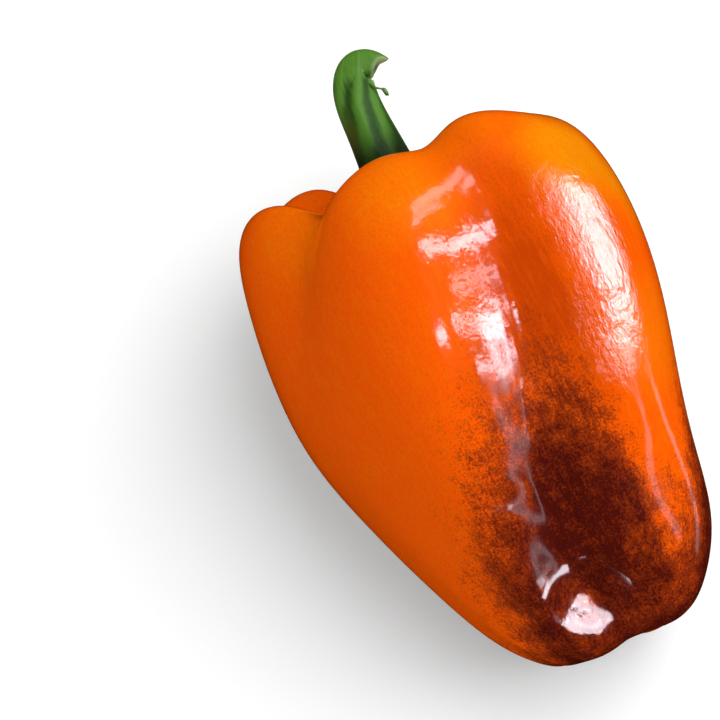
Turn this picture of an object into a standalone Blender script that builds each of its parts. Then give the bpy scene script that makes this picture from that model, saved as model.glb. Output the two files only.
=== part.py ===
# A bell pepper lying on its back: the fruit, grown as one piece with five lobes, and its green stem,
# which is one piece with the calyx that sits in the hollow at the fruit's top.
import math
from collections import namedtuple

import bmesh
import bpy
import numpy as np
from mathutils import Matrix

# The pepper's own frame, in which it is shaped: it stands on its blossom end, with X to its right, -Y to
# its front and Z up its axis, with the tips of the blossom end near z = 0. Lengths are in millimetres and
# angles in degrees. An angle round the axis is 0 at the front and grows towards the right.
MM = 0.001

# Outlines of the left and right sides: (distance from the axis, height), from the floor of the stem's
# hollow over the shoulder and down the flank to the blossom scar.
LEFT_SIDE = ((0, 97), (9, 96.5), (15, 99.5), (22, 110.5), (30, 118), (37.3, 112.5), (40.8, 99.5), (43, 84),
             (43.6, 65), (39.5, 45), (32.2, 28.5), (25.8, 13), (18.5, 1), (11.5, -2), (5, 1.5), (0, 4.5))
RIGHT_SIDE = ((0, 97), (9, 96.5), (15, 99), (20, 107), (28, 112), (39.5, 109.5), (45, 97), (46.3, 79),
              (43.6, 61), (38.2, 43), (35.3, 29), (33.2, 14.5), (24.5, 0.5), (14, -3), (5, 1.5), (0, 4.5))
FRONT_TO_SIDE = 0.98            # depth of the fruit as a share of its width

# A furrow between two lobes, each row at even steps from the hollow to the scar. path: its angle.
# depth: how far it sinks below the outline. width: how softly it opens.
Furrow = namedtuple("Furrow", "name path depth width")
FURROWS = (
    Furrow("front right", (16, 16, 16, 17, 21, 26, 17, 11, 0.5, 1.5, 11, 13, 16),
           (0, 2.0, 3.5, 2.8, 4.5, 7.0, 7.8, 7.8, 7.5, 6.5, 1.4, 0.3, 0),
           (0.9, 0.25, 0.35, 0.2, 0.12, 0.25, 0.5)),
    Furrow("right back", (104, 104, 104, 104, 103, 102, 101, 100, 100),
           (0, 6.0, 4.0, 4.0, 5.0, 6.0, 0), (0.9, 0.5, 0.6, 0.5, 0.3, 0.3, 0.5)),
    Furrow("back", (192, 192, 192, 192, 192, 192, 192, 192, 192),
           (0, 6.0, 5.0, 5.0, 5.0, 6.0, 0), (0.9, 0.5, 0.5, 0.4, 0.3, 0.3, 0.5)),
    Furrow("left back", (252, 252, 252, 253, 254, 255, 256, 256, 256),
           (0, 6.0, 4.0, 3.0, 4.0, 5.0, 0), (0.9, 0.5, 0.6, 0.5, 0.3, 0.3, 0.5)),
    Furrow("left front", (334, 336, 343, 316, 304, 304, 304, 304, 304),
           (0, 9.0, 10.0, 0.0, 0.0, 0.0, 0), (0.9, 0.4, 0.15, 0.6, 0.6, 0.6, 0.5)),
)

# A soft swelling of the skin, or with a negative size a hollow.
Swelling = namedtuple("Swelling", "name angle height half_angle half_height size")
SWELLINGS = (
    Swelling("back left shoulder", 222, 116, 40, 12, 5.5),
    Swelling("back right shoulder", 140, 114, 30, 10, 1.5),
    Swelling("left slope of the front shoulder", -7, 113, 12, 8, -1.7),
    Swelling("left slope of the right shoulder", 36, 112, 16, 8, 2.7),
    Swelling("right slope of the right shoulder", 68, 112, 18, 8, -1.6),
    Swelling("face of the right lobe", 42, 74, 14, 26, 3.5),
    Swelling("lower face of the right lobe", 41, 45, 15, 10, 2.0),
    Swelling("left flank", -85, 45, 30, 15, -1.0),
    Swelling("foot of the left flank", -80, 0, 35, 8, -1.2),
    Swelling("foot of the right lobe", 70, 3, 30, 8, -0.8),
    Swelling("upper trough beside the front right furrow", -2, 36, 6, 8, -1.5),
    Swelling("lower trough beside the front right furrow", -10, 22, 8, 8, -3.0),
    Swelling("dish at the foot of that furrow", -5, 10.5, 14, 5, -2.5),
    Swelling("upper ridge on the front lobe", -17, 33, 6, 7, 0.8),
    Swelling("lower ridge on the front lobe", -26, 18, 7, 8, 1.2),
)

LOBE_COLUMNS = (22, 18, 12, 16, 16)     # mesh columns between each furrow and the next
COLUMN_CROWDING = 0.3                   # how much closer the columns stand at a furrow
FRUIT_ROWS = 54

# Calyx: a star that lies in the stem's hollow. Reaches are shares of the outline's length.
CALYX_TOOTH_REACH = (0.172, 0.166, 0.176, 0.164, 0.180, 0.168)
CALYX_FIRST_TOOTH = 36                  # angle of the first tooth
CALYX_NOTCH_REACH = 0.150
CALYX_FOOT_REACH = 0.072                # where the calyx turns up into the stem
CALYX_GAP = 0.5                         # clear of the fruit's skin
CALYX_EDGE = 1.1                        # thickness at the rim
CALYX_MIDDLE = 2.6                      # thickness at the stem
CALYX_EDGE_ROUNDING = 3                 # how quickly the rim reaches its thickness
STEM_COLUMNS = 48
UNDERSIDE_ROWS = 10
UPPER_ROWS = 6

# Stem: (distance to the right of the axis, height, radius) along its middle line, root to tip.
STEM_LINE = ((0.0, 98.2, 9.2), (-0.1, 99.6, 7.8), (-0.2, 103.5, 6.7), (-0.1, 109.0, 6.1), (0.0, 115.0, 5.7),
             (0.1, 121.5, 5.1), (0.0, 127.3, 4.9), (0.6, 132.2, 4.7), (2.8, 136.1, 4.2), (5.6, 136.2, 3.7),
             (7.5, 134.0, 3.0))
STEM_ROWS = 26
STEM_RIDGES = 5
STEM_RIDGE_HEIGHT = 0.07                # as a share of the radius
STEM_RIDGE_TURN = 30                    # how far the ridges wind from root to tip
STEM_GROOVE = 0.13                      # depth of the one deep groove, as a share of the radius
STEM_GROOVE_ANGLE = 18
STEM_GROOVE_HALF_ANGLE = 16
STEM_RIBBED_FROM = 0.25                 # share of the line past which the ridges are full
TIP_LIP = 2.2                           # how far the torn lip stands past the end
TIP_LIP_ANGLE = -90
TIP_LIP_HALF_ANGLE = 45
TIP_LIP_FROM = 0.75                     # share of the line past which the lip is drawn out
TIP_HOLLOW = 0.8
TIP_ROWS = 2

# How it lies: rolled and pitched so that its two back lobes carry it, then cut flat where it touches.
ROLL = 8.8                              # turns the front towards -X
PITCH = 11.9                            # lifts the stem's end
CONTACT_DEPTH = 0.8
CUT_SNAP = 0.00005

ORANGE = (0.90, 0.16, 0.003, 1.0)
GREEN = (0.10, 0.22, 0.02, 1.0)


def spline(rows, t):
    """Point on the uniform cubic B-spline with these control rows, at t from 0 to 1."""
    rows = np.asarray(rows, float)
    spans = len(rows) - 3
    x = np.clip(t, 0, 1) * spans
    first = np.minimum(x.astype(int), spans - 1)
    u = (x - first)[..., None]
    weights = ((1 - u) ** 3, 3 * u ** 3 - 6 * u ** 2 + 4, -3 * u ** 3 + 3 * u ** 2 + 3 * u + 1, u ** 3)
    return sum(w * rows[first + k] for k, w in enumerate(weights)) / 6


def through_axis(points):
    """An outline's control rows, with one reflected in the axis past each end, so the poles are smooth."""
    p = np.asarray(points, float)
    return np.vstack([p[1] * (-1, 1), p, p[-2] * (-1, 1)])


def level_ends(values):
    """Control rows of a quantity that levels out at both ends."""
    v = np.asarray(values, float)
    v = v.reshape(len(v), -1)
    return np.vstack([v[1:2], v, v[-2:-1]])


def along(values, s):
    return spline(level_ends(values), s)[..., 0]


def outline(angle, s):
    """Distance from the axis and height of the lobes' crowns, blended from left to right."""
    right = (0.5 + 0.5 * np.sin(angle))[..., None]
    return spline(through_axis(LEFT_SIDE), s) * (1 - right) + spline(through_axis(RIGHT_SIDE), s) * right


def outline_normal(angle, s):
    step = 1e-4
    d = outline(angle, s + step) - outline(angle, s - step)
    n = np.stack([-d[..., 1], d[..., 0]], -1)
    return n / np.linalg.norm(n, axis=-1, keepdims=True)


def sinking(angle, s):
    """How far the skin lies below the crowns: nothing on a crown and the furrow's depth in a furrow."""
    paths = [np.radians(along(f.path, s)) for f in FURROWS]
    depths = [along(f.depth, s) for f in FURROWS]
    widths = [along(f.width, s) for f in FURROWS]
    total = np.zeros_like(s)
    for j in range(len(FURROWS)):
        k = (j + 1) % len(FURROWS)
        gap = np.mod(paths[k] - paths[j], 2 * math.pi)
        across = np.mod(angle - paths[j], 2 * math.pi) / gap
        inside = across < 1
        u = np.clip(across, 0, 1)
        blend = u * u * (3 - 2 * u)
        width = widths[j] * (1 - blend) + widths[k] * blend
        depth = depths[j] * (1 - blend) + depths[k] * blend
        lobe = (np.sqrt(np.sin(math.pi * u) ** 2 + width ** 2) - width) / (np.sqrt(1 + width ** 2) - width)
        total = np.where(inside, (1 - lobe) * depth, total)
    return total


def bump(angle, middle, half_angle):
    """1 at the middle angle, given in degrees as its half width is, and fading to 0 on both sides."""
    off = np.mod(angle - math.radians(middle) + math.pi, 2 * math.pi) - math.pi
    return np.exp(-(off / math.radians(half_angle)) ** 2)


def skin(angle, s):
    """Points of the fruit's skin, s running from the stem's hollow (0) to the blossom scar (1)."""
    inner = np.clip(s, 1e-3, 1 - 1e-3)
    normal = outline_normal(angle, inner)
    p = outline(angle, s) - normal * sinking(angle, s)[..., None]
    for w in SWELLINGS:
        rise = (p[..., 1] - w.height) / w.half_height
        swell = w.size * bump(angle, w.angle, w.half_angle) * np.exp(-rise ** 2)
        p = p + normal * swell[..., None]
    r, z = p[..., 0], p[..., 1]
    return np.stack([r * np.sin(angle), -r * np.cos(angle) * FRONT_TO_SIDE, z], -1)


def skin_normal(angle, s):
    step = 1e-4
    s = np.maximum(s, 2 * step)
    round_it = skin(angle + step, s) - skin(angle - step, s)
    down_it = skin(angle, s + step) - skin(angle, s - step)
    n = np.cross(down_it, round_it)
    return n / np.linalg.norm(n, axis=-1, keepdims=True)


def ball(columns, rows):
    """A sphere's mesh, with the column and row of each of its points. Row 0 is the upper pole."""
    mesh = bmesh.new()
    bmesh.ops.create_uvsphere(mesh, u_segments=columns, v_segments=rows, radius=1)
    places = np.array([v.co[:] for v in mesh.verts])
    row = np.rint(np.arccos(np.clip(places[:, 2], -1, 1)) / math.pi * rows).astype(int)
    turn = np.mod(np.arctan2(places[:, 1], places[:, 0]), 2 * math.pi)
    column = np.rint(turn / (2 * math.pi) * columns).astype(int) % columns
    return mesh, column, row


def move_points(mesh, places):
    for vert, place in zip(mesh.verts, places):
        vert.co = place * MM


def fruit_columns(s):
    """Angle of every mesh column at s, with a column along each furrow."""
    angles = []
    for j, count in enumerate(LOBE_COLUMNS):
        k = (j + 1) % len(FURROWS)
        start = along(FURROWS[j].path, s)
        gap = np.mod(along(FURROWS[k].path, s) - start, 360)
        for i in range(count):
            u = i / count
            u -= COLUMN_CROWDING * math.sin(2 * math.pi * u) / (2 * math.pi)
            angles.append(start + gap * u)
    return np.radians(np.array(angles))


def fruit_mesh():
    columns = sum(LOBE_COLUMNS)
    mesh, column, row = ball(columns, FRUIT_ROWS)
    s = row / FRUIT_ROWS
    angle = fruit_columns(s)[column, np.arange(len(s))]
    move_points(mesh, skin(angle, s))
    return mesh


def calyx_reach(angle):
    """Where the star's rim lies, long at a tooth and short between two teeth."""
    teeth = len(CALYX_TOOTH_REACH)
    turn = np.mod(np.degrees(angle) - CALYX_FIRST_TOOTH, 360) / (360 / teeth)
    nearest = np.rint(turn).astype(int)
    tip = np.array(CALYX_TOOTH_REACH)[nearest % teeth]
    point = 0.5 + 0.5 * np.cos(2 * math.pi * (turn - nearest))
    return CALYX_NOTCH_REACH + (tip - CALYX_NOTCH_REACH) * point


def calyx_point(angle, share, height):
    """A point over the skin, share of the way out to the rim and so high above the gap."""
    s = calyx_reach(angle) * share
    return skin(angle, s) + skin_normal(angle, s) * (CALYX_GAP + height)[..., None]


def calyx_underside(angle, outward):
    return calyx_point(angle, outward, np.zeros_like(outward))


def calyx_upper(angle, inward):
    """Over the top, from the rim (0) in to the stem's foot (1)."""
    share = 1 - inward * (1 - CALYX_FOOT_REACH / calyx_reach(angle))
    rounded = np.sqrt(np.clip(CALYX_EDGE_ROUNDING * inward, 0, 1))
    height = CALYX_EDGE * rounded + (CALYX_MIDDLE - CALYX_EDGE) * inward ** 2
    return calyx_point(angle, share, height)


def stem_line(t):
    rows = np.array(STEM_LINE, float)
    ends = np.vstack([2 * rows[0] - rows[1], rows, 2 * rows[-1] - rows[-2]])
    return spline(ends, t)


def stem_point(angle, t, shrink, forward):
    """A point of the stem's wall, or with shrink below 1 of its end face, moved forward along the line."""
    here = stem_line(t)
    step = 1e-3
    behind = np.clip(t - step, 0, 1 - 2 * step)
    ahead = (stem_line(behind + 2 * step) - stem_line(behind))[..., :2]
    ahead /= np.linalg.norm(ahead, axis=-1, keepdims=True)
    ridge = STEM_RIDGE_HEIGHT * np.cos(STEM_RIDGES * (angle - np.radians(STEM_RIDGE_TURN) * t))
    groove = STEM_GROOVE * bump(angle, STEM_GROOVE_ANGLE, STEM_GROOVE_HALF_ANGLE)
    ribbed = np.clip(t / STEM_RIBBED_FROM, 0, 1)
    radius = here[..., 2] * (1 + (ridge - groove) * ribbed) * shrink
    right = radius * np.sin(angle)
    x = here[..., 0] + right * ahead[..., 1] + forward * ahead[..., 0]
    z = here[..., 1] - right * ahead[..., 0] + forward * ahead[..., 1]
    return np.stack([x, -radius * np.cos(angle), z], -1)


def tip_lip(angle):
    return TIP_LIP * bump(angle, TIP_LIP_ANGLE, TIP_LIP_HALF_ANGLE)


def stem_wall(angle, t):
    drawn_out = np.clip((t - TIP_LIP_FROM) / (1 - TIP_LIP_FROM), 0, 1)
    return stem_point(angle, t, np.ones_like(t), tip_lip(angle) * drawn_out)


def stem_tip(angle, inward):
    """The torn end, from its rim (0) in to its middle (1), which lies lower than the rim."""
    forward = tip_lip(angle) * (1 - inward) - TIP_HOLLOW * inward
    return stem_point(angle, np.ones_like(angle), 1 - inward, forward)


def stem_mesh():
    """The calyx's underside, its upper side, the stem's wall and its torn end, as one skin."""
    rings = [(calyx_underside, i / UNDERSIDE_ROWS) for i in range(UNDERSIDE_ROWS + 1)]
    rings += [(calyx_upper, i / UPPER_ROWS) for i in range(1, UPPER_ROWS + 1)]
    rings += [(stem_wall, i / STEM_ROWS) for i in range(STEM_ROWS + 1)]
    rings += [(stem_tip, i / TIP_ROWS) for i in range(1, TIP_ROWS + 1)]
    mesh, column, row = ball(STEM_COLUMNS, len(rings) - 1)
    angle = column / STEM_COLUMNS * 2 * math.pi
    places = np.zeros((len(row), 3))
    for number, (section, share) in enumerate(reversed(rings)):
        here = row == number
        places[here] = section(angle[here], np.full(here.sum(), share))
    move_points(mesh, places)
    return mesh


def lie_down(meshes):
    """Lays the meshes on their back and puts the origin under the middle of the whole."""
    lay = (Matrix.Rotation(math.radians(PITCH), 4, "X") @ Matrix.Rotation(-math.radians(ROLL), 4, "Y")
           @ Matrix.Rotation(-math.pi / 2, 4, "X"))
    for mesh in meshes:
        bmesh.ops.transform(mesh, matrix=lay, verts=mesh.verts)
    places = np.array([v.co[:] for mesh in meshes for v in mesh.verts])
    low, high = places.min(axis=0), places.max(axis=0)
    middle = (low + high) / 2
    shift = Matrix.Translation((-middle[0], -middle[1], -low[2] - CONTACT_DEPTH * MM))
    for mesh in meshes:
        bmesh.ops.transform(mesh, matrix=shift, verts=mesh.verts)


def flatten_contacts(mesh):
    """Cuts the mesh flat at z = 0, where it rests."""
    geometry = mesh.verts[:] + mesh.edges[:] + mesh.faces[:]
    cut = bmesh.ops.bisect_plane(mesh, geom=geometry, dist=CUT_SNAP, plane_co=(0, 0, 0), plane_no=(0, 0, 1),
                                 use_snap_center=True, clear_inner=True)
    rims = [e for e in cut["geom_cut"] if isinstance(e, bmesh.types.BMEdge)]
    bmesh.ops.holes_fill(mesh, edges=rims)


def material(name, colour, roughness):
    mat = bpy.data.materials.new(name)
    mat.use_nodes = True
    surface = mat.node_tree.nodes["Principled BSDF"]
    surface.inputs["Base Color"].default_value = colour
    surface.inputs["Roughness"].default_value = roughness
    surface.inputs["Metallic"].default_value = 0.0
    return mat


def add_piece(name, mesh, mat, collection):
    data = bpy.data.meshes.new(name)
    mesh.to_mesh(data)
    mesh.free()
    data.materials.append(mat)
    data.shade_smooth()
    collection.objects.link(bpy.data.objects.new(name, data))


def main():
    for old in list(bpy.data.objects):
        bpy.data.objects.remove(old, do_unlink=True)
    collection = bpy.data.collections.new("bell_pepper")
    bpy.context.scene.collection.children.link(collection)
    fruit, stem = fruit_mesh(), stem_mesh()
    lie_down((fruit, stem))
    flatten_contacts(fruit)
    add_piece("fruit", fruit, material("orange_skin", ORANGE, 0.25), collection)
    add_piece("stem_calyx", stem, material("green_stem", GREEN, 0.5), collection)


main()
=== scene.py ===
import math

import bpy
from bpy.props import FloatProperty, FloatVectorProperty, PointerProperty
from mathutils import Matrix, Vector


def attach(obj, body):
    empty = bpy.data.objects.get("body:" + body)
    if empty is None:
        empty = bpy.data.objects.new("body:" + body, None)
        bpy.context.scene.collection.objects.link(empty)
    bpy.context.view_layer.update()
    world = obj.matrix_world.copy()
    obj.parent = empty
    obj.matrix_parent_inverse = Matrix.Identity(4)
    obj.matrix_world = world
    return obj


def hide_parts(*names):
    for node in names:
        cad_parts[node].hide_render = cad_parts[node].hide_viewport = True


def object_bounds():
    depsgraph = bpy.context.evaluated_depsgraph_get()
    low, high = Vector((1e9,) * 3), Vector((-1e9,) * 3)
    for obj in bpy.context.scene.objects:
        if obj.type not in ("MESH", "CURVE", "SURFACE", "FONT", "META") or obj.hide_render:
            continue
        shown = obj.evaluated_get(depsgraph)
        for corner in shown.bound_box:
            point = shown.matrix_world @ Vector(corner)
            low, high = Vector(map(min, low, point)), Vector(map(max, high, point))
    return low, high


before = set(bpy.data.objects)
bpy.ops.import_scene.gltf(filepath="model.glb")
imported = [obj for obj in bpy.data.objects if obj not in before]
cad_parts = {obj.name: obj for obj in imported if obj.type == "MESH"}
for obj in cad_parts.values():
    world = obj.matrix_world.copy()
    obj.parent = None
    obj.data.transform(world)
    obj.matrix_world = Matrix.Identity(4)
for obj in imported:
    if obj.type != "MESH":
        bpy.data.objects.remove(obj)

bl_info = {
    "name": "Bell Pepper",
    "version": (1, 0, 0),
    "blender": (4, 5, 0),
    "location": "3D View > Sidebar > Pepper",
    "description": "Dresses a bell pepper: its blushed skin, its stem and calyx, and the studio round it",
    "category": "Object",
}

CAD_LOW, CAD_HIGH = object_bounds()
MM = 0.001

# The pepper's own frame, in which its height is measured up its axis from the blossom end, with the front
# at angle 0 and the right at 90. This lays that frame down as the pepper lies.
ROLL = 8.8
PITCH = 11.9
AXIS_FOOT = Vector((0.00041, -0.06677, 0.02378))
LAID = (Matrix.Translation(AXIS_FOOT) @ Matrix.Rotation(math.radians(PITCH), 4, "X")
        @ Matrix.Rotation(-math.radians(ROLL), 4, "Y") @ Matrix.Rotation(-math.pi / 2, 4, "X"))

# The photograph's view: where it looks from, how far off, and where a point on the axis shows in the image.
IMAGE = 720
SENSOR = 36.0
VIEW_AZIMUTH = -24.7
VIEW_ELEVATION = 72.6
VIEW_ROLL = -2.0
VIEW_DISTANCE = 0.700
PIXELS_PER_METRE = 4650.0
SIGHT_HEIGHT = 0.060
SIGHT_PIXEL = (496, 389)


def view_direction():
    """From the pepper towards the camera."""
    azimuth, elevation = math.radians(VIEW_AZIMUTH), math.radians(VIEW_ELEVATION)
    return Vector((math.sin(azimuth) * math.cos(elevation), -math.cos(azimuth) * math.cos(elevation),
                   math.sin(elevation)))


FOCAL_PIXELS = PIXELS_PER_METRE * VIEW_DISTANCE
SIGHT = LAID @ Vector((0, 0, SIGHT_HEIGHT))
EYE = SIGHT + view_direction() * VIEW_DISTANCE
EYE_TURN = (view_direction().to_track_quat("Z", "Y").to_matrix()
            @ Matrix.Rotation(math.radians(VIEW_ROLL), 3, "Z")
            @ Matrix.Rotation(math.atan((SIGHT_PIXEL[0] - IMAGE / 2) / FOCAL_PIXELS), 3, "Y")
            @ Matrix.Rotation(math.atan((SIGHT_PIXEL[1] - IMAGE / 2) / FOCAL_PIXELS), 3, "X"))


# Settings

class PepperSkinSettings(bpy.types.PropertyGroup):
    orange: FloatVectorProperty(name="Orange", description="Colour of most of the ripe skin",
                                subtype="COLOR", size=3, min=0, max=1, default=(0.97, 0.104, 0.0006))
    amber: FloatVectorProperty(name="Amber", description="Yellower skin on the shoulders",
                               subtype="COLOR", size=3, min=0, max=1, default=(0.88, 0.260, 0.0010))
    # Vermilion is partly the valleys' own redder skin and partly painted shade, being much darker than the
    # orange.
    vermilion_and_shade: FloatVectorProperty(name="Vermilion", description="Redder skin in the valleys",
                                   subtype="COLOR", size=3, min=0, max=1, default=(0.58, 0.054, 0.0006))
    russet: FloatVectorProperty(name="Russet", description="Skin at the edge of the blush",
                                subtype="COLOR", size=3, min=0, max=1, default=(0.34, 0.034, 0.001))
    maroon: FloatVectorProperty(name="Maroon", description="Skin in the middle of the blush",
                                subtype="COLOR", size=3, min=0, max=1, default=(0.075, 0.0045, 0.002))
    roughness: FloatProperty(name="Roughness", description="Roughness of the waxy skin", min=0, max=1,
                             default=0.07)
    blush_roughness: FloatProperty(name="Blush roughness", description="Roughness of the blushed skin",
                                   min=0, max=1, default=0.15)
    wrinkle: FloatProperty(name="Wrinkles", description="Height of the fine wrinkles of the skin",
                           unit="LENGTH", min=0, max=0.001, default=0.000012)


class PepperStemSettings(bpy.types.PropertyGroup):
    green: FloatVectorProperty(name="Green", description="Colour of the stem's ridges",
                               subtype="COLOR", size=3, min=0, max=1, default=(0.080, 0.220, 0.018))
    # In the hollow at the stem's base, a darker copy of this colour is painted shade.
    shade: FloatVectorProperty(name="Dark green", description="Colour between the ridges and in the hollow",
                               subtype="COLOR", size=3, min=0, max=1, default=(0.018, 0.068, 0.005))
    olive: FloatVectorProperty(name="Olive", description="Brownish tint low on the stem",
                               subtype="COLOR", size=3, min=0, max=1, default=(0.075, 0.060, 0.004))
    cream: FloatVectorProperty(name="Cream", description="Torn flesh at the stem's end",
                               subtype="COLOR", size=3, min=0, max=1, default=(0.62, 0.66, 0.38))
    roughness: FloatProperty(name="Roughness", description="Roughness of the stem", min=0, max=1,
                             default=0.5)
    ridges: FloatProperty(name="Ridges", description="Height of the stem's ridges", unit="LENGTH", min=0,
                          max=0.002, default=0.0005)


class PepperStageSettings(bpy.types.PropertyGroup):
    floor: FloatVectorProperty(name="Floor", description="Colour of the plain floor",
                               subtype="COLOR", size=3, min=0, max=1, default=(0.92, 0.92, 0.92))
    soft_light: FloatProperty(name="Soft light", description="Brightness of the soft overhead light",
                              unit="POWER", min=0, default=17.0)
    window: FloatProperty(name="Windows", description="Brightness of the lamps that shine in the skin",
                          min=0, default=22.0)


# Places

def ray_through(pixel):
    """Direction from the camera through a pixel of the photograph."""
    across = (pixel[0] - IMAGE / 2) / FOCAL_PIXELS
    down = (pixel[1] - IMAGE / 2) / FOCAL_PIXELS
    return (EYE_TURN @ Vector((across, -down, -1))).normalized()


def seen_at(piece, pixel):
    """Place and normal of a piece's skin where the photograph shows it."""
    hit, place, normal, _ = piece.ray_cast(EYE, ray_through(pixel))
    if not hit:
        raise ValueError(f"{piece.name} isn't at pixel {pixel}")
    return place, normal


def own(place):
    """A place in the pepper's own frame."""
    return LAID.inverted() @ place


# Modelling

MERGE_DISTANCE = 0.01 * MM
JOIN_FACES = 0.7                        # how sharply two triangles may fold to become one quad, in radians
JOIN_SHAPES = 0.9                       # and how far its corners may be from square
FINE_LEVELS = 2


def pick_only(piece):
    bpy.ops.object.select_all(action="DESELECT")
    bpy.context.view_layer.objects.active = piece
    piece.select_set(True)


def fine_copy(node, name):
    """A copy of a node with its triangles joined into quads and its surface subdivided."""
    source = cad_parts[node]
    piece = bpy.data.objects.new(name, source.data.copy())
    bpy.context.scene.collection.objects.link(piece)
    pick_only(piece)
    bpy.ops.object.mode_set(mode="EDIT")
    bpy.ops.mesh.select_all(action="SELECT")
    bpy.ops.mesh.remove_doubles(threshold=MERGE_DISTANCE)
    bpy.ops.mesh.tris_convert_to_quads(face_threshold=JOIN_FACES, shape_threshold=JOIN_SHAPES)
    bpy.ops.mesh.select_all(action="DESELECT")
    bpy.ops.object.mode_set(mode="OBJECT")
    subdivide = piece.modifiers.new("Fine skin", "SUBSURF")
    subdivide.levels = FINE_LEVELS
    subdivide.render_levels = FINE_LEVELS
    bpy.ops.object.modifier_apply(modifier=subdivide.name)
    bpy.ops.object.shade_smooth()
    return piece


def finish_piece(piece, material, replaced):
    """Dresses a piece and puts it in the place of its node."""
    piece.data.materials.clear()
    piece.data.materials.append(material)
    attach(piece, "root")
    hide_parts(replaced)


# Shader building

BLOT_RIM = (1.5, 0.3)                   # shares of a patch's reach over which it comes in


def plug(tree, socket, value):
    """Links a socket to another, or gives it a plain value."""
    if isinstance(value, bpy.types.NodeSocket):
        tree.links.new(value, socket)
    else:
        socket.default_value = value


def add_node(tree, kind, inputs, **settings):
    made = tree.nodes.new(kind)
    for name, value in settings.items():
        setattr(made, name, value)
    for name, value in inputs.items():
        plug(tree, made.inputs[name], value)
    return made


def maths(tree, operation, *values):
    return add_node(tree, "ShaderNodeMath", dict(enumerate(values)), operation=operation).outputs[0]


def vector_maths(tree, operation, *values):
    made = add_node(tree, "ShaderNodeVectorMath", dict(enumerate(values)), operation=operation)
    return made.outputs["Value" if operation == "LENGTH" else "Vector"]


def blend(tree, share, first, second):
    made = tree.nodes.new("ShaderNodeMix")
    made.data_type = "RGBA"
    for socket, value in ((made.inputs[0], share), (made.inputs[6], first), (made.inputs[7], second)):
        plug(tree, socket, value)
    return made.outputs[2]


def ease(tree, value, start, end, low=0.0, high=1.0):
    inputs = {"Value": value, "From Min": start, "From Max": end, "To Min": low, "To Max": high}
    return add_node(tree, "ShaderNodeMapRange", inputs, interpolation_type="SMOOTHSTEP").outputs["Result"]


def noise(tree, vector, scale, detail=2.0, roughness=0.5, distortion=0.0):
    inputs = {"Vector": vector, "Scale": scale, "Detail": detail, "Roughness": roughness,
              "Distortion": distortion}
    return add_node(tree, "ShaderNodeTexNoise", inputs).outputs["Fac"]


def sway(tree, value, pattern, amount):
    """A value swung up and down by a pattern that runs from 0 to 1."""
    return maths(tree, "MULTIPLY_ADD", maths(tree, "SUBTRACT", pattern, 0.5), amount, value)


def rgba(colour):
    return (*colour, 1.0)


def new_group(name, inputs, output):
    """An empty group with these named inputs, each with its socket type and default, and one output."""
    tree = bpy.data.node_groups.new(name, "ShaderNodeTree")
    for label, (kind, default) in inputs.items():
        socket = tree.interface.new_socket(name=label, in_out="INPUT", socket_type=kind)
        if default is not None:
            socket.default_value = default
    tree.interface.new_socket(name=output, in_out="OUTPUT", socket_type="NodeSocketFloat")
    return tree, tree.nodes.new("NodeGroupInput").outputs, tree.nodes.new("NodeGroupOutput").inputs[output]


def use_group(tree, name, **inputs):
    made = tree.nodes.new("ShaderNodeGroup")
    made.node_tree = bpy.data.node_groups[name]
    for label, value in inputs.items():
        plug(tree, made.inputs[label.replace("_", " ").capitalize()], value)
    return made.outputs[0]


def make_blot_group():
    """A soft round patch: 1 within, fading to 0 past its rim."""
    tree, given, out = new_group("Blot", {
        "Place": ("NodeSocketVector", None),
        "Centre": ("NodeSocketVector", None),
        "Reach": ("NodeSocketFloat", 0.01),
    }, "Share")
    away = vector_maths(tree, "SUBTRACT", given["Place"], given["Centre"])
    distance = vector_maths(tree, "LENGTH", away)
    plug(tree, out, ease(tree, maths(tree, "DIVIDE", distance, given["Reach"]), *BLOT_RIM))


def make_streak_group():
    """Fibrous noise drawn out along the pepper's axis, from 0 to 1."""
    tree, given, out = new_group("Streaks", {
        "Place": ("NodeSocketVector", None),
        "Width": ("NodeSocketFloat", 0.0005),
        "Drawn out": ("NodeSocketFloat", 5.0),
    }, "Streak")
    parts = add_node(tree, "ShaderNodeSeparateXYZ", {"Vector": given["Place"]}).outputs
    along = maths(tree, "DIVIDE", parts["Z"], given["Drawn out"])
    squeezed = {"X": parts["X"], "Y": parts["Y"], "Z": along}
    place = add_node(tree, "ShaderNodeCombineXYZ", squeezed).outputs[0]
    scale = maths(tree, "DIVIDE", 1.0, given["Width"])
    plug(tree, out, noise(tree, place, scale, detail=3.0, roughness=0.6, distortion=0.3))


def own_place(tree):
    """Object coordinates, laid into the pepper's own frame."""
    coordinates = tree.nodes.new("ShaderNodeTexCoord").outputs["Object"]
    inputs = {"Vector": coordinates, "Location": LAID.to_translation(), "Rotation": LAID.to_euler()}
    return add_node(tree, "ShaderNodeMapping", inputs, vector_type="TEXTURE").outputs["Vector"]


def new_material(name):
    material = bpy.data.materials.new(name)
    material.use_nodes = True
    return material, material.node_tree, material.node_tree.nodes["Principled BSDF"].inputs


# Skin

# Patches of the skin: the pixel that shows the middle of each, its reach in metres and how strong it is.
AMBER_PATCHES = (((300, 230), 0.012, 0.25), ((575, 150), 0.012, 0.9), ((625, 195), 0.008, 0.5),
                 ((400, 185), 0.012, 0.40), ((520, 130), 0.008, 0.15), ((655, 330), 0.012, 0.3),
                 ((450, 130), 0.008, 0.3))
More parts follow.
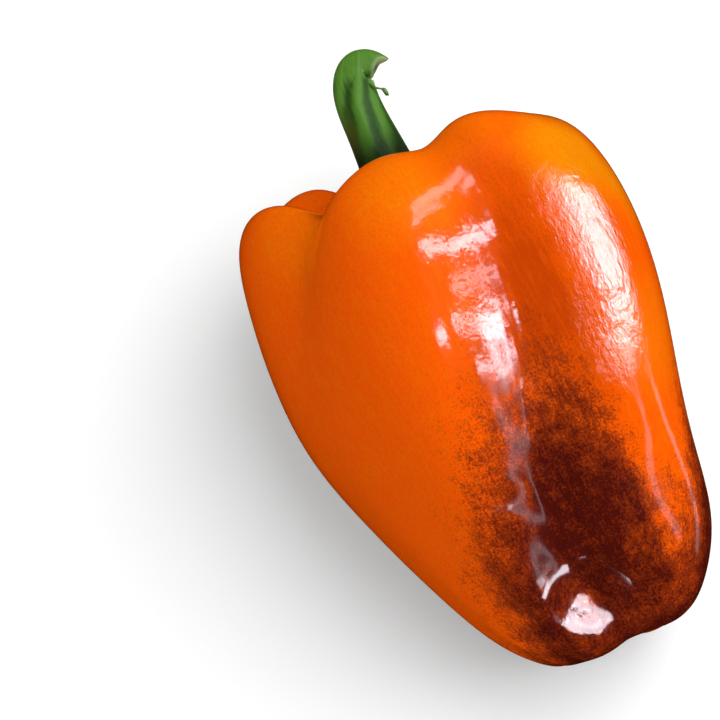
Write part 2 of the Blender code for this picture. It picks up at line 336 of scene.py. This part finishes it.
# Valley patches: partly redder skin, partly painted shade in the valleys between the lobes.
VALLEY_RED_AND_SHADE_PATCHES = (((500, 190), 0.009, 0.5), ((510, 250), 0.009, 0.7), ((520, 310), 0.010, 0.9),
                     ((560, 330), 0.009, 0.7), ((545, 270), 0.008, 0.3), ((450, 150), 0.007, 0.4),
                     ((500, 370), 0.008, 0.5), ((595, 380), 0.006, 0.3))
WRINKLED_PATCHES = (((565, 190), 0.010, 1.0), ((598, 235), 0.010, 1.0), ((612, 300), 0.010, 0.8),
                    ((620, 355), 0.008, 0.8), ((455, 235), 0.012, 0.12), ((490, 320), 0.010, 0.10),
                    ((580, 620), 0.006, 0.2))
CLEARER_PATCHES = (((655, 540), 0.007, 0.7), ((680, 590), 0.005, 0.6), ((600, 645), 0.006, 0.5),
                   ((580, 600), 0.005, 0.6), ((520, 635), 0.011, 0.5), ((640, 605), 0.006, 0.4),
                   ((585, 440), 0.008, 0.4))

# Noise in the skin's colours. Scales are for each metre, and widths are in metres.
WARP_SCALE = 70.0
WARP_REACH = 0.008
STREAK_WIDTH = 0.0008
STREAK_LENGTH = 8.0                     # times its width
PATCH_SCALE = 260.0
GRAIN_WIDTH = 0.0005
YELLOW_STREAKS = 0.20
RED_GRAINS = 0.35

# The skin's relief.
WRINKLE_WIDTH = 0.0009
WRINKLE_LENGTH = 3.0                    # times its width
SWELL_SCALE = 300.0
SWELL_SHARE = 2.2
ROUGHEST = 20.0                         # how much more the most wrinkled skin is wrinkled

# The blush covers the blossom end up to this height in millimetres, by the angle round the axis.
BLUSH_RISE = ((-180, -8), (-110, 2), (-90, 8), (-72, 12), (-50, 20), (-36, 30), (-27, 37), (-18, 46),
              (-8, 54), (0, 60), (8, 62), (15, 64), (21, 64), (27, 58), (32, 48), (36, 35), (41, 27),
              (48, 25), (56, 28), (62, 36), (70, 44), (95, 36), (130, 8), (180, -8))
BLUSH_HIGHEST = 80.0
CURVE_FLOOR = 0.1                       # the curve's value for height 0, so that lower heights fit above 0
BLUSH_FADE = 0.010                      # over which it deepens downwards, in metres

# Depths into the blush are counted in fades.
DEEPEST = 2.6
CLEARING = -1.3
STREAK_SWAY = 2.2
PATCH_SWAY = 3.2
GRAIN_SWAY = 3.8
RUSSET_SPAN = (-0.7, 1.4)
MAROON_SPAN = (0.5, 3.0)
BOUNCED = (0.30, 0.27, 0.25)            # the skin's colour in the light that it throws on other things


def patches(tree, fruit, place, rows):
    """All patches of one kind, as one mask."""
    total = 0.0
    for pixel, reach, strength in rows:
        centre = own(seen_at(fruit, pixel)[0])
        share = use_group(tree, "Blot", place=place, centre=centre, reach=reach)
        total = maths(tree, "MULTIPLY_ADD", share, strength, total)
    return maths(tree, "MINIMUM", total, 1.0)


def curve(tree, value, points):
    """A value from 0 to 1 led through a smooth curve."""
    made = add_node(tree, "ShaderNodeFloatCurve", {"Value": value})
    line = made.mapping.curves[0]
    for x, y in points[1:-1]:
        line.points.new(x, y)
    line.points[0].location = points[0]
    line.points[-1].location = points[-1]
    made.mapping.update()
    return made.outputs[0]


def blush_depth(tree, place):
    """How far below the blush's upper edge a place lies, as a share of the fade."""
    parts = add_node(tree, "ShaderNodeSeparateXYZ", {"Vector": place}).outputs
    angle = maths(tree, "ARCTAN2", parts["X"], maths(tree, "MULTIPLY", parts["Y"], -1.0))
    turn = maths(tree, "MULTIPLY_ADD", angle, 0.5 / math.pi, 0.5)
    span = (1 - CURVE_FLOOR) / BLUSH_HIGHEST
    rise = curve(tree, turn, [(a / 360 + 0.5, CURVE_FLOOR + h * span) for a, h in BLUSH_RISE])
    edge = maths(tree, "MULTIPLY", maths(tree, "SUBTRACT", rise, CURVE_FLOOR), MM / span)
    return maths(tree, "DIVIDE", maths(tree, "SUBTRACT", edge, parts["Z"]), BLUSH_FADE)


def ripe_colour(tree, fruit, place, streak, grains, settings):
    """Orange skin, yellower on the shoulders, and redder and darker in the valleys, partly the skin's own
    red and partly painted shade.
    """
    wander = add_node(tree, "ShaderNodeTexNoise", {"Vector": place, "Scale": WARP_SCALE, "Detail": 3.0})
    offset = vector_maths(tree, "SCALE", vector_maths(tree, "SUBTRACT", wander.outputs["Color"], (0.5,) * 3))
    plug(tree, offset.node.inputs["Scale"], WARP_REACH)
    loose = vector_maths(tree, "ADD", place, offset)
    yellower = maths(tree, "ADD", patches(tree, fruit, loose, AMBER_PATCHES),
                     ease(tree, streak, 0.4, 0.75, 0.0, YELLOW_STREAKS))
    colour = blend(tree, yellower, rgba(settings.orange), rgba(settings.amber))
    # Painted shade, with the skin's own red, darkens the valleys.
    redder = patches(tree, fruit, loose, VALLEY_RED_AND_SHADE_PATCHES)
    redder = maths(tree, "MULTIPLY", redder, ease(tree, streak, 0.25, 0.6, 0.6, 1.0))
    redder = maths(tree, "ADD", redder, ease(tree, grains, 0.4, 0.8, 0.0, RED_GRAINS))
    return blend(tree, redder, colour, rgba(settings.vermilion_and_shade))


def ragged_blush(tree, fruit, place, streak, grains):
    """Depth into the blush, broken up by streaks, patches and grains."""
    capped = maths(tree, "MINIMUM", blush_depth(tree, place), DEEPEST)
    clearer = patches(tree, fruit, place, CLEARER_PATCHES)
    depth = maths(tree, "MULTIPLY_ADD", clearer, CLEARING, capped)
    depth = sway(tree, depth, streak, STREAK_SWAY)
    depth = sway(tree, depth, noise(tree, place, PATCH_SCALE, detail=3.0, roughness=0.6), PATCH_SWAY)
    return sway(tree, depth, grains, GRAIN_SWAY)


def skin_relief(tree, fruit, place, settings):
    """Fine wrinkles and swells, deeper on the wrinkled patches."""
    wrinkles = use_group(tree, "Streaks", place=place, width=WRINKLE_WIDTH, drawn_out=WRINKLE_LENGTH)
    swells = noise(tree, place, SWELL_SCALE, detail=4.0, roughness=0.6)
    height = maths(tree, "MULTIPLY_ADD", swells, SWELL_SHARE, wrinkles)
    wrinkled = patches(tree, fruit, place, WRINKLED_PATCHES)
    height = maths(tree, "MULTIPLY", height, maths(tree, "MULTIPLY_ADD", wrinkled, ROUGHEST, 1.0))
    bump = add_node(tree, "ShaderNodeBump", {"Height": height, "Distance": settings.wrinkle})
    return bump.outputs["Normal"]


def make_skin(fruit, settings):
    material, tree, surface = new_material("orange_skin")
    place = own_place(tree)
    streak = use_group(tree, "Streaks", place=place, width=STREAK_WIDTH, drawn_out=STREAK_LENGTH)
    grains = noise(tree, place, 1.0 / GRAIN_WIDTH, detail=2.0, roughness=0.7)
    depth = ragged_blush(tree, fruit, place, streak, grains)
    blush = ease(tree, depth, *RUSSET_SPAN)
    colour = ripe_colour(tree, fruit, place, streak, grains, settings)
    colour = blend(tree, blush, colour, rgba(settings.russet))
    colour = blend(tree, ease(tree, depth, *MAROON_SPAN), colour, rgba(settings.maroon))
    bounced = tree.nodes.new("ShaderNodeLightPath").outputs["Is Diffuse Ray"]
    plug(tree, surface["Base Color"], blend(tree, bounced, colour, rgba(BOUNCED)))
    roughness = ease(tree, blush, 0.0, 1.0, settings.roughness, settings.blush_roughness)
    plug(tree, surface["Roughness"], roughness)
    plug(tree, surface["Normal"], skin_relief(tree, fruit, place, settings))
    return material


# Fine forms of the fruit's skin: the pixel of the photograph, the reach in metres and the push outwards.
FINE_FORMS = (
    ((535, 172), 0.0120, 0.0005), ((560, 172), 0.0120, 0.0006), ((585, 178), 0.0120, 0.0005),
    ((570, 276), 0.0060, 0.00024), ((594, 278), 0.0060, 0.00026), ((615, 282), 0.0060, 0.00020),
    ((606, 385), 0.0140, 0.00080), ((600, 372), 0.0070, 0.00015),
    ((580, 602), 0.0095, -0.0026),
    ((538, 598), 0.0050, 0.0006), ((546, 625), 0.0050, 0.0006), ((570, 643), 0.0045, 0.0006),
    ((600, 640), 0.0045, 0.0005),
    ((543, 476), 0.003, 0.0006), ((549, 492), 0.003, 0.0006), ((556, 508), 0.003, 0.0006),
    ((562, 524), 0.003, 0.0007), ((568, 540), 0.003, 0.0008), ((576, 556), 0.003, 0.0007),
    ((488, 502), 0.004, -0.0005), ((502, 499), 0.004, -0.0005), ((514, 496), 0.004, -0.0004),
    ((530, 392), 0.0025, 0.0003), ((532, 408), 0.0025, 0.0003), ((534, 424), 0.0025, 0.0003),
)


def push_skin(piece, pixel, reach, push):
    """Pushes the skin outwards where the photograph shows a pixel, fading to nothing at the reach."""
    place, normal = seen_at(piece, pixel)
    nearest = min(piece.data.vertices, key=lambda v: (v.co - place).length_squared).index
    pick_only(piece)
    bpy.ops.object.mode_set(mode="EDIT")
    bpy.ops.mesh.select_all(action="DESELECT")
    bpy.ops.object.mode_set(mode="OBJECT")
    piece.data.vertices[nearest].select = True
    bpy.ops.object.mode_set(mode="EDIT")
    bpy.ops.transform.translate(value=normal * push, use_proportional_edit=True,
                                proportional_edit_falloff="SMOOTH", proportional_size=reach)
    bpy.ops.object.mode_set(mode="OBJECT")


class PEPPER_OT_fruit(bpy.types.Operator):
    """Make the fruit, with its blushed skin"""
    bl_idname = "pepper.fruit"
    bl_label = "Fruit"

    def execute(self, context):
        fruit = fine_copy("fruit", "pepper_fruit")
        for form in FINE_FORMS:
            push_skin(fruit, *form)
        finish_piece(fruit, make_skin(fruit, context.scene.pepper_skin), "fruit")
        return {"FINISHED"}


# Stem and calyx

STEM_BEND_FROM = 0.128                  # height past which the stem bends to the right
STEM_BEND = 0.35
RIDGE_COUNT = 6
RIDGE_TURN = 2400.0                     # degrees that the ridges wind for each metre of height
RIDGE_START_HEIGHT = 0.120
RIDGE_START_ANGLE = -16
RIDGE_END_HEIGHTS = (0.1315, 0.1350)    # over which the ridges fade at the torn end
RIDGE_END_LEVEL = 0.8
STEM_STREAK_WIDTH = 0.0007
STEM_STREAK_LENGTH = 9.0                # times its width
MOTTLE_SCALE = 600.0
STREAK_LIGHT = 0.7
MOTTLE_LIGHT = 0.6
GREEN_SPAN = (-0.1, 0.95)
OLIVE_TURNS = (-0.15, -0.7)             # in radians to the left of the front
OLIVE_HEIGHTS = (0.131, 0.121)
OLIVE_SHARE = 0.8
# Painted shade in the hollow round the stem's base.
HOLLOW_SHADE_HEIGHTS = (0.1235, 0.1145)         # over which painted shade darkens the stem down into the hollow
HOLLOW_SHADE_SHARE = 0.9
HOLLOW_SHADE_DARKNESS = 0.2                        # colour of the painted shade in the hollow, as a share of the dark green
CALYX_HEIGHTS = (0.106, 0.113)          # under which the calyx is green again, keeping only a share of the painted shade
CALYX_SHADE_SHARE = 0.2
STREAK_RELIEF = 0.3
STEM_SHINE = 0.15
STEM_PIXEL = (366, 90)
FIBRE_END_PIXEL = (392, 85)
FIBRE_END_REACH = 0.0019
TORN_PLACES = (((0.0088, -0.0014, 0.1328), 0.0024), ((0.0075, 0.0005, 0.1315), 0.0022))


def stem_turn(tree, place):
    """Angle round the bent stem, less the ridges' winding, in radians."""
    parts = add_node(tree, "ShaderNodeSeparateXYZ", {"Vector": place}).outputs
    bent = maths(tree, "MAXIMUM", maths(tree, "SUBTRACT", parts["Z"], STEM_BEND_FROM), 0.0)
    right = maths(tree, "MULTIPLY_ADD", bent, -STEM_BEND, parts["X"])
    angle = maths(tree, "ARCTAN2", right, maths(tree, "MULTIPLY", parts["Y"], -1.0))
    risen = maths(tree, "SUBTRACT", parts["Z"], RIDGE_START_HEIGHT)
    return maths(tree, "MULTIPLY_ADD", risen, -math.radians(RIDGE_TURN), angle), parts["Z"]


def at_stem_depth(stem, pixel):
    """Place behind a pixel of the photograph, as far off as the stem is."""
    return EYE + ray_through(pixel) * (seen_at(stem, STEM_PIXEL)[0] - EYE).length


def stem_colour(tree, place, turn, height, ridge, streak, settings):
    """Green ridges and dark grooves, olive on the lower left, and painted shade darkening the stem in the
    hollow.
    """
    mottle = noise(tree, place, MOTTLE_SCALE, detail=3.0, roughness=0.6)
    light = sway(tree, sway(tree, ridge, streak, STREAK_LIGHT), mottle, MOTTLE_LIGHT)
    colour = blend(tree, ease(tree, light, *GREEN_SPAN), rgba(settings.shade), rgba(settings.green))
    left = ease(tree, maths(tree, "MULTIPLY_ADD", mottle, 0.5, turn), *OLIVE_TURNS)
    low_left = maths(tree, "MULTIPLY", left, ease(tree, height, *OLIVE_HEIGHTS))
    colour = blend(tree, maths(tree, "MULTIPLY", low_left, OLIVE_SHARE), colour, rgba(settings.olive))
    # Painted shade: the stem's base is darkened down into the hollow, less so on the calyx.
    painted_hollow_shade = maths(tree, "MULTIPLY", ease(tree, height, *HOLLOW_SHADE_HEIGHTS, 0.0, HOLLOW_SHADE_SHARE),
                   ease(tree, height, *CALYX_HEIGHTS, CALYX_SHADE_SHARE, 1.0))
    return blend(tree, painted_hollow_shade, colour, rgba([HOLLOW_SHADE_DARKNESS * c for c in settings.shade]))


def make_stem_skin(stem, settings):
    material, tree, surface = new_material("green_stem")
    place = own_place(tree)
    turn, height = stem_turn(tree, place)
    phase = maths(tree, "MULTIPLY_ADD", turn, RIDGE_COUNT, -RIDGE_COUNT * math.radians(RIDGE_START_ANGLE))
    ridge = maths(tree, "MULTIPLY_ADD", maths(tree, "COSINE", phase), 0.5, 0.5)
    ridge = maths(tree, "MAXIMUM", ridge, ease(tree, height, *RIDGE_END_HEIGHTS, 0.0, RIDGE_END_LEVEL))
    streak = use_group(tree, "Streaks", place=place, width=STEM_STREAK_WIDTH, drawn_out=STEM_STREAK_LENGTH)
    colour = stem_colour(tree, place, turn, height, ridge, streak, settings)
    fibre_end = own(at_stem_depth(stem, FIBRE_END_PIXEL))
    for centre, reach in (*TORN_PLACES, (fibre_end, FIBRE_END_REACH)):
        share = use_group(tree, "Blot", place=place, centre=centre, reach=reach)
        colour = blend(tree, share, colour, rgba(settings.cream))
    plug(tree, surface["Base Color"], colour)
    surface["Roughness"].default_value = settings.roughness
    surface["Specular IOR Level"].default_value = STEM_SHINE
    relief = maths(tree, "MULTIPLY_ADD", streak, STREAK_RELIEF, ridge)
    bump = add_node(tree, "ShaderNodeBump", {"Height": relief, "Distance": settings.ridges})
    plug(tree, surface["Normal"], bump.outputs["Normal"])
    return material


# The torn fibre at the stem's end, drawn out of the skin along these steps, right and up as the camera
# sees it and in pixels of the photograph, each with its thickness as a share of the step before.
FIBRE_PIXEL = (377, 80)
FIBRE_STEPS = (((2, -1), 2.6), ((5, -3), 0.75), ((5, -1), 0.8), ((4, 0), 1.1))
FORK_PIXEL = (384, 82)
FORK_STEPS = (((1, -1), 1.3), ((2, -3), 0.9), ((2, -4), 0.7))


def draw_out(piece, pixel, steps):
    """Draws a thread out of the piece's face nearest to where the photograph shows a pixel."""
    _, _, _, face = piece.closest_point_on_mesh(at_stem_depth(piece, pixel))
    pick_only(piece)
    bpy.ops.object.mode_set(mode="EDIT")
    bpy.ops.mesh.select_mode(type="FACE")
    bpy.ops.mesh.select_all(action="DESELECT")
    bpy.ops.object.mode_set(mode="OBJECT")
    piece.data.polygons[face].select = True
    middle = piece.data.polygons[face].center.copy()
    bpy.ops.object.mode_set(mode="EDIT")
    for (right, up), share in steps:
        offset = EYE_TURN @ Vector((right, up, 0)) / PIXELS_PER_METRE
        middle += offset
        bpy.ops.mesh.extrude_region_move(TRANSFORM_OT_translate={"value": offset})
        bpy.ops.transform.resize(value=(share,) * 3, center_override=middle)
    bpy.ops.object.mode_set(mode="OBJECT")


class PEPPER_OT_stem(bpy.types.Operator):
    """Make the stem with its calyx"""
    bl_idname = "pepper.stem"
    bl_label = "Stem and Calyx"

    def execute(self, context):
        stem = fine_copy("stem_calyx", "pepper_stem_calyx")
        draw_out(stem, FIBRE_PIXEL, FIBRE_STEPS)
        draw_out(stem, FORK_PIXEL, FORK_STEPS)
        finish_piece(stem, make_stem_skin(stem, context.scene.pepper_stem), "stem_calyx")
        return {"FINISHED"}


# Stage

FLOOR_SIZE = 4.0
FLOOR_GLOW = 0.15                       # the paper is lit from behind
PAPER_CLOUDS = 3.0                      # for each metre
PAPER_PALER = 1.02
PAPER_ROUGHNESS = 0.8
LAMP_DISTANCE = 0.60
SOFT_LIGHT_WAY = (0.5, 0.55, 0.9)       # right, up and back, as the camera sees it
SOFT_LIGHT_DISTANCE = 1.3
SOFT_LIGHT_SIZE = 1.5
SKY_FOR_SKIN = 0.0                      # how bright the surroundings are in the skin's gloss
SKY = 0.54

# Bars of the window that shines in the skin. Each runs between two directions from the pepper, given as
# the camera sees them, right and up. Then its thickness in radians and its share of the full brightness.
WINDOW_PIXEL = (500, 270)
WINDOW_TINT = (0.94, 0.91, 1.0)
WINDOW_BARS = (
    ((0.05, 0.56), (0.52, 0.72), 0.035, 0.35),
    ((0.10, 0.66), (0.60, 0.78), 0.09, 0.22),
    ((0.12, 0.41), (0.60, 0.48), 0.05, 1.0),
    ((0.60, 0.47), (0.82, 0.50), 0.075, 0.9),
    ((0.52, 0.28), (0.84, 0.35), 0.05, 0.38),
    ((0.06, 0.00), (0.26, 0.06), 0.05, 0.9),
    ((0.42, 0.14), (0.80, 0.20), 0.022, 1.0),
    ((0.80, 0.20), (0.93, 0.20), 0.08, 1.0),
    ((0.84, 0.18), (0.93, 0.06), 0.055, 0.9),
    ((0.66, 0.03), (0.90, 0.09), 0.042, 0.8),
    ((0.78, -0.04), (0.94, -0.24), 0.12, 0.10),
)

# Softboxes close over the skin: the pixel that each hangs over, the way it hangs off and how far off. Then
# where its middle lies, right and up in its own plane, its width and height, its turn and its share. Lengths
# are in metres and turns in degrees.
CLOSE_WINDOWS = (
    ((600, 280), (0.60, 0.25), 0.030, (0.0298, 0.0255), (0.066, 0.050), 22, 0.8),
    ((580, 605), (0.45, 0.50), 0.011, (0.0005, -0.0055), (0.0095, 0.011), 0, 0.8),
)

# The edge of the studio's far wall, which shows as a pale rim on the right.
RIM_START = (0.97, 0.45)
RIM_END = (0.93, -0.30)
RIM_BACK = -0.30
RIM_WIDTH = 0.10
RIM_SHARE = 0.08
RIM_TINT = (1.0, 1.0, 1.0)


def add_floor(settings):
    bpy.ops.mesh.primitive_plane_add(size=FLOOR_SIZE)
    floor = bpy.context.object
    floor.name = "floor"
    material, tree, surface = new_material("floor_paper")
    coordinates = tree.nodes.new("ShaderNodeTexCoord").outputs["Object"]
    cloud = noise(tree, coordinates, PAPER_CLOUDS)
    paler = [min(1.0, c * PAPER_PALER) for c in settings.floor]
    plug(tree, surface["Base Color"], blend(tree, cloud, rgba(settings.floor), rgba(paler)))
    surface["Roughness"].default_value = PAPER_ROUGHNESS
    surface["Emission Color"].default_value = (1, 1, 1, 1)
    seen = tree.nodes.new("ShaderNodeLightPath").outputs["Is Camera Ray"]
    plug(tree, surface["Emission Strength"], maths(tree, "MULTIPLY", seen, FLOOR_GLOW))
    floor.data.materials.append(material)
    floor.visible_glossy = False


def add_lamp(name, place, target, width, height, radiance, along=Vector((0, 0, 1))):
    """A rectangular lamp facing the target, its height turned as near to along as it can be."""
    back = (place - target).normalized()
    up = (along - back * along.dot(back)).normalized()
    turn = Matrix((up.cross(back), up, back)).transposed()
    bpy.ops.object.light_add(type="AREA", location=place, rotation=turn.to_euler())
    lamp = bpy.context.object
    lamp.name = name
    lamp.data.shape = "RECTANGLE"
    lamp.data.size = width
    lamp.data.size_y = height
    lamp.data.energy = radiance * math.pi * width * height
    lamp.visible_camera = False
    return lamp


def seen_way(right, up):
    """Direction from the pepper towards the camera's side, given as the camera sees it."""
    return EYE_TURN @ Vector((right, up, math.sqrt(max(0.0, 1 - right * right - up * up))))


def add_shine(name, place, target, size, radiance, along, tint):
    """A lamp that shows in the skin's gloss and lights nothing else."""
    lamp = add_lamp(name, place, target, *size, radiance, along)
    lamp.data.color = tint
    lamp.visible_diffuse = False


def add_bar(name, fruit, first_way, last_way, thickness, radiance, tint):
    """A bar of light seen from the pepper between two directions."""
    target = seen_at(fruit, WINDOW_PIXEL)[0]
    first = target + first_way * LAMP_DISTANCE
    last = target + last_way * LAMP_DISTANCE
    span = last - first
    size = (thickness * LAMP_DISTANCE, span.length)
    add_shine(name, (first + last) / 2, target, size, radiance, span, tint)


def add_windows(fruit, radiance):
    for number, (start, end, thickness, share) in enumerate(WINDOW_BARS):
        add_bar(f"window_{number + 1}", fruit, seen_way(*start), seen_way(*end), thickness,
                radiance * share, WINDOW_TINT)


def add_close_windows(fruit, radiance):
    for number, (pixel, way, distance, middle, size, turn, share) in enumerate(CLOSE_WINDOWS):
        back = seen_way(*way)
        right = EYE_TURN @ Vector((1, 0, 0))
        right = (right - back * right.dot(back)).normalized()
        up = back.cross(right)
        place = seen_at(fruit, pixel)[0] + back * distance + right * middle[0] + up * middle[1]
        along = Matrix.Rotation(math.radians(turn), 3, back) @ up
        add_shine(f"close_window_{number + 1}", place, place - back, size, radiance * share, along,
                  WINDOW_TINT)


def add_rim_light(fruit, radiance):
    first_way, last_way = (EYE_TURN @ Vector((*way, RIM_BACK)).normalized() for way in (RIM_START, RIM_END))
    add_bar("rim_light", fruit, first_way, last_way, RIM_WIDTH, radiance * RIM_SHARE, RIM_TINT)


def add_soft_light(settings):
    target = (CAD_LOW + CAD_HIGH) / 2
    way = EYE_TURN @ Vector(SOFT_LIGHT_WAY)
    lamp = add_lamp("soft_light", target + way.normalized() * SOFT_LIGHT_DISTANCE, target, SOFT_LIGHT_SIZE,
                    SOFT_LIGHT_SIZE, 1.0)
    lamp.data.energy = settings.soft_light
    lamp.visible_glossy = False


def add_surroundings():
    world = bpy.data.worlds.new("studio")
    world.use_nodes = True
    tree = world.node_tree
    background = tree.nodes["Background"].inputs
    background["Color"].default_value = (1, 1, 1, 1)
    path = tree.nodes.new("ShaderNodeLightPath").outputs
    seen = ease(tree, path["Is Camera Ray"], 0.0, 1.0, SKY, 1.0)
    shine = maths(tree, "MULTIPLY", path["Is Glossy Ray"], SKY - SKY_FOR_SKIN)
    plug(tree, background["Strength"], maths(tree, "SUBTRACT", seen, shine))
    bpy.context.scene.world = world


def add_camera():
    bpy.ops.object.camera_add(location=EYE, rotation=EYE_TURN.to_euler())
    camera = bpy.context.object
    camera.name = "camera"
    camera.data.sensor_width = SENSOR
    camera.data.lens = SENSOR * FOCAL_PIXELS / IMAGE
    bpy.context.scene.camera = camera


class PEPPER_OT_stage(bpy.types.Operator):
    """Make the floor, the lamps and the camera"""
    bl_idname = "pepper.stage"
    bl_label = "Stage"

    def execute(self, context):
        settings = context.scene.pepper_stage
        add_floor(settings)
        add_surroundings()
        add_soft_light(settings)
        for add in (add_windows, add_close_windows, add_rim_light):
            add(bpy.data.objects["pepper_fruit"], settings.window)
        add_camera()
        context.scene.view_settings.view_transform = "Standard"
        return {"FINISHED"}


class PEPPER_PT_panel(bpy.types.Panel):
    bl_idname = "PEPPER_PT_panel"
    bl_label = "Bell Pepper"
    bl_space_type = "VIEW_3D"
    bl_region_type = "UI"
    bl_category = "Pepper"

    def draw(self, context):
        groups = ((context.scene.pepper_skin, ("pepper.fruit",)),
                  (context.scene.pepper_stem, ("pepper.stem",)),
                  (context.scene.pepper_stage, ("pepper.stage",)))
        for settings, operators in groups:
            box = self.layout.box()
            for name in settings.__annotations__:
                box.prop(settings, name)
            for operator in operators:
                box.operator(operator)


CLASSES = (PepperSkinSettings, PepperStemSettings, PepperStageSettings, PEPPER_OT_fruit, PEPPER_OT_stem,
           PEPPER_OT_stage, PEPPER_PT_panel)


def register():
    for cls in CLASSES:
        bpy.utils.register_class(cls)
    bpy.types.Scene.pepper_skin = PointerProperty(type=PepperSkinSettings)
    bpy.types.Scene.pepper_stem = PointerProperty(type=PepperStemSettings)
    bpy.types.Scene.pepper_stage = PointerProperty(type=PepperStageSettings)


def unregister():
    del bpy.types.Scene.pepper_stage
    del bpy.types.Scene.pepper_stem
    del bpy.types.Scene.pepper_skin
    for cls in reversed(CLASSES):
        bpy.utils.unregister_class(cls)


def main():
    register()
    for make in (make_blot_group, make_streak_group):
        make()
    bpy.ops.pepper.fruit()
    bpy.ops.pepper.stem()
    bpy.ops.pepper.stage()


if __name__ == "__main__":
    main()
